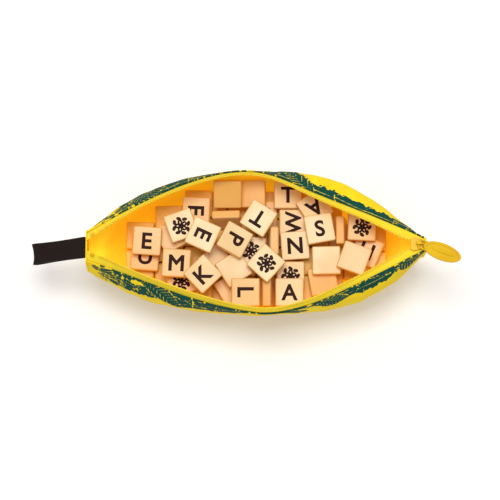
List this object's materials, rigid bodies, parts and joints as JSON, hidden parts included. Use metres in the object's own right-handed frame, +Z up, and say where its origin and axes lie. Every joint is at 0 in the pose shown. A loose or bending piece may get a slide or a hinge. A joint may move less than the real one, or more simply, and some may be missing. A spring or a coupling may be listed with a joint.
{
  "type": "word tile game pouch",
  "caption": "Banana-shaped cloth zip pouch lying open on its belly, filled with a loose heap of ivory letter tiles, with a slider and oval pull at one end and a webbing loop at the other.",
  "frame": {"origin": "middle of the flat patch of the belly that the pouch rests on", "axes": "+Z up, +X along the pouch from the strap to the zip slider, +Y to the far side"},
  "size_m": [0.2793, 0.0965, 0.0693],
  "materials": {
    "printed_cloth": "woven polyester, yellow with a dark green leaf print",
    "plain_cloth": "woven polyester, plain yellow",
    "lining_cloth": "woven polyester, orange yellow",
    "zip_tape": "woven zip tape, yellow",
    "zip_coil": "nylon coil",
    "zip_metal": "enamelled zinc, yellow",
    "pull_plastic": "moulded, glossy",
    "webbing": "woven nylon webbing, dark brown",
    "tile": "moulded ivory plastic with dark brown filled letters"
  },
  "bodies": {
    "pouch": {"base_gusset": "plain_cloth", "front_panel": "printed_cloth", "front_zip_coil": "zip_coil", "front_zip_tape": "zip_tape", "lining": "lining_cloth", "nose_binding": "plain_cloth", "rear_panel": "printed_cloth", "rear_zip_coil": "zip_coil", "rear_zip_tape": "zip_tape", "stem_end_panel": "plain_cloth", "tile_a_top": "tile", "tile_amber": "tile", "tile_blank_far": "tile", "tile_blank_s": "tile", "tile_c": "tile", "tile_e_far": "tile", "tile_fan_high": "tile", "tile_fan_low": "tile", "tile_fan_middle": "tile", "tile_flower_left": "tile", "tile_flower_low": "tile", "tile_flower_near": "tile", "tile_flower_side": "tile", "tile_h": "tile", "tile_layer_1": "tile", "tile_layer_2": "tile", "tile_layer_3": "tile", "tile_layer_4": "tile", "tile_layer_5": "tile", "tile_m": "tile", "tile_m_side": "tile", "tile_n": "tile", "tile_on_edge_centre": "tile", "tile_on_edge_left": "tile", "tile_on_edge_near": "tile", "tile_on_edge_right": "tile", "tile_t_top": "tile", "tile_u": "tile", "tile_under_flower": "tile", "zip_bottom_stop": "zip_metal", "zip_top_stops": "zip_metal"},
    "slider": {"zip_slider": "zip_metal"},
    "pull": {"zip_pull": "pull_plastic"},
    "strap": {"strap_loop": "webbing"},
    "tile_e_left": {"tile_e_left": "tile"},
    "tile_k": {"tile_k": "tile"},
    "tile_p": {"tile_p": "tile"},
    "tile_e_middle": {"tile_e_middle": "tile"},
    "tile_blank_top_left": {"tile_blank_top_left": "tile"},
    "tile_t_middle": {"tile_t_middle": "tile"},
    "tile_s": {"tile_s": "tile"},
    "tile_flower_right": {"tile_flower_right": "tile"},
    "tile_blank_right": {"tile_blank_right": "tile"},
    "tile_flower_centre": {"tile_flower_centre": "tile"},
    "tile_a_low": {"tile_a_low": "tile"},
    "tile_l": {"tile_l": "tile"}
  },
  "joints": [
    {"name": "slider_run", "type": "slide", "parent": "pouch", "child": "slider", "axis": [1, 0, 0], "range_m": [-0.0008, 0]},
    {"name": "pull_swing", "type": "hinge", "parent": "slider", "child": "pull", "pos_m": [0.10502, -0.0048, 0.067], "axis": [-0.342, -0.9397, 0], "range_deg": [-2, 140]},
    {"name": "strap_flex", "type": "hinge", "parent": "pouch", "child": "strap", "pos_m": [-0.11247, -0.0062, 0.059], "axis": [-0.0698, 0.9976, 0], "range_deg": [-35, 80]},
    {"name": "tile_e_left_lift", "type": "slide", "parent": "pouch", "child": "tile_e_left", "axis": [0, 0, 1], "range_m": [0, 0.05]},
    {"name": "tile_k_lift", "type": "slide", "parent": "pouch", "child": "tile_k", "axis": [0, 0, 1], "range_m": [0, 0.004]},
    {"name": "tile_p_lift", "type": "slide", "parent": "pouch", "child": "tile_p", "axis": [0, 0, 1], "range_m": [0, 0.05]},
    {"name": "tile_e_middle_lift", "type": "slide", "parent": "pouch", "child": "tile_e_middle", "axis": [0, 0, 1], "range_m": [0, 0.05]},
    {"name": "tile_blank_top_left_lift", "type": "slide", "parent": "pouch", "child": "tile_blank_top_left", "axis": [0, 0, 1], "range_m": [0, 0.003]},
    {"name": "tile_t_middle_lift", "type": "slide", "parent": "pouch", "child": "tile_t_middle", "axis": [0, 0, 1], "range_m": [0, 0.05]},
    {"name": "tile_s_lift", "type": "slide", "parent": "pouch", "child": "tile_s", "axis": [0, 0, 1], "range_m": [0, 0.006]},
    {"name": "tile_flower_right_lift", "type": "slide", "parent": "pouch", "child": "tile_flower_right", "axis": [0, 0, 1], "range_m": [0, 0.006]},
    {"name": "tile_blank_right_lift", "type": "slide", "parent": "pouch", "child": "tile_blank_right", "axis": [0, 0, 1], "range_m": [0, 0.008]},
    {"name": "tile_flower_centre_lift", "type": "slide", "parent": "pouch", "child": "tile_flower_centre", "axis": [0, 0, 1], "range_m": [0, 0.05]},
    {"name": "tile_a_low_lift", "type": "slide", "parent": "pouch", "child": "tile_a_low", "axis": [0, 0, 1], "range_m": [0, 0.008]},
    {"name": "tile_l_lift", "type": "slide", "parent": "pouch", "child": "tile_l", "axis": [0, 0, 1], "range_m": [0, 0.006]}
  ]
}
